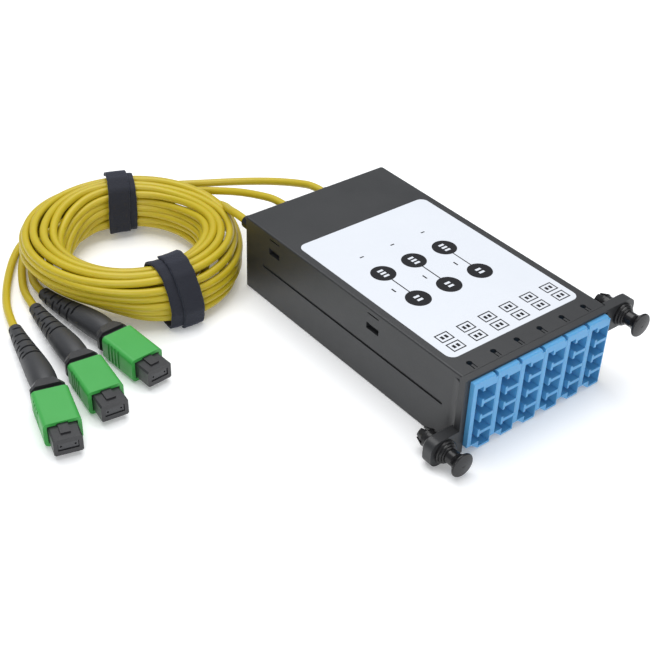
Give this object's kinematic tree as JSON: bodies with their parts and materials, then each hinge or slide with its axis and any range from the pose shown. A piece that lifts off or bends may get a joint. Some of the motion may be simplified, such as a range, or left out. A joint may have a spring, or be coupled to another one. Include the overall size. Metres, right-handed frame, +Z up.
{
  "type": "fibre cassette",
  "caption": "Fibre cassette: flat housing with a field of keyed ports, push-pull fasteners, and strapped trunk cables ending in push-on plugs.",
  "frame": {"origin": "centre of the housing's underside", "axes": "+X to the right facing the ports, +Y from the ports to the rear where the cables leave, +Z up"},
  "size_m": [0.1813, 0.2057, 0.0301],
  "materials": {
    "housing": "satin, fine moulded grain",
    "label": "printed film label",
    "adapter": "satin moulded",
    "inner_plug": "satin moulded",
    "ceramic": "white ceramic",
    "fitting": "satin moulded",
    "cable": "smooth soft jacket",
    "strap": "hook-and-loop strap",
    "connector": "satin moulded",
    "ferrule": "polished",
    "coupling": "satin moulded"
  },
  "bodies": {
    "cassette": {"base_tray": "housing", "top_cover": "housing", "label": "label", "adapter_1": "adapter", "adapter_2": "adapter", "adapter_3": "adapter", "adapter_4": "adapter", "adapter_5": "adapter", "adapter_6": "adapter", "inner_plugs_1": "inner_plug", "inner_plugs_2": "inner_plug", "inner_plugs_3": "inner_plug", "inner_plugs_4": "inner_plug", "inner_plugs_5": "inner_plug", "inner_plugs_6": "inner_plug", "alignment_sleeves": "ceramic", "cable_gland_1": "fitting", "cable_gland_2": "fitting", "cable_gland_3": "fitting", "fanout_1": "fitting", "fanout_2": "fitting", "fanout_3": "fitting", "grommet_left": "fitting", "grommet_right": "fitting", "cable_coil": "cable", "strap_rear": "strap", "strap_front": "strap", "cable_lead_1": "cable", "cable_lead_2": "cable", "cable_lead_3": "cable", "cable_tail_1": "cable", "cable_tail_2": "cable", "cable_tail_3": "cable", "connector_1_shoulder": "connector", "connector_1_housing": "connector", "connector_1_ferrule": "ferrule", "connector_1_boot": "connector", "connector_2_shoulder": "connector", "connector_2_housing": "connector", "connector_2_ferrule": "ferrule", "connector_2_boot": "connector", "connector_3_shoulder": "connector", "connector_3_housing": "connector", "connector_3_ferrule": "ferrule", "connector_3_boot": "connector"},
    "plunger_left": {"plunger_left": "fitting"},
    "plunger_right": {"plunger_right": "fitting"},
    "coupling_1": {"connector_1_coupling": "coupling"},
    "coupling_2": {"connector_2_coupling": "coupling"},
    "coupling_3": {"connector_3_coupling": "coupling"}
  },
  "joints": [
    {"name": "push_plunger_left", "type": "slide", "parent": "cassette", "child": "plunger_left", "axis": [0, 1, 0], "range_m": [0, 0.0024]},
    {"name": "push_plunger_right", "type": "slide", "parent": "cassette", "child": "plunger_right", "axis": [0, 1, 0], "range_m": [0, 0.0024]},
    {"name": "slide_coupling_1", "type": "slide", "parent": "cassette", "child": "coupling_1", "axis": [0.2521, 0.9677, 0], "range_m": [0, 0.0022], "stiffness_N_per_m": 800},
    {"name": "slide_coupling_2", "type": "slide", "parent": "cassette", "child": "coupling_2", "axis": [0.1132, 0.9936, 0], "range_m": [0, 0.0022], "stiffness_N_per_m": 800},
    {"name": "slide_coupling_3", "type": "slide", "parent": "cassette", "child": "coupling_3", "axis": [-0.0785, 0.9969, 0], "range_m": [0, 0.0022], "stiffness_N_per_m": 800}
  ]
}
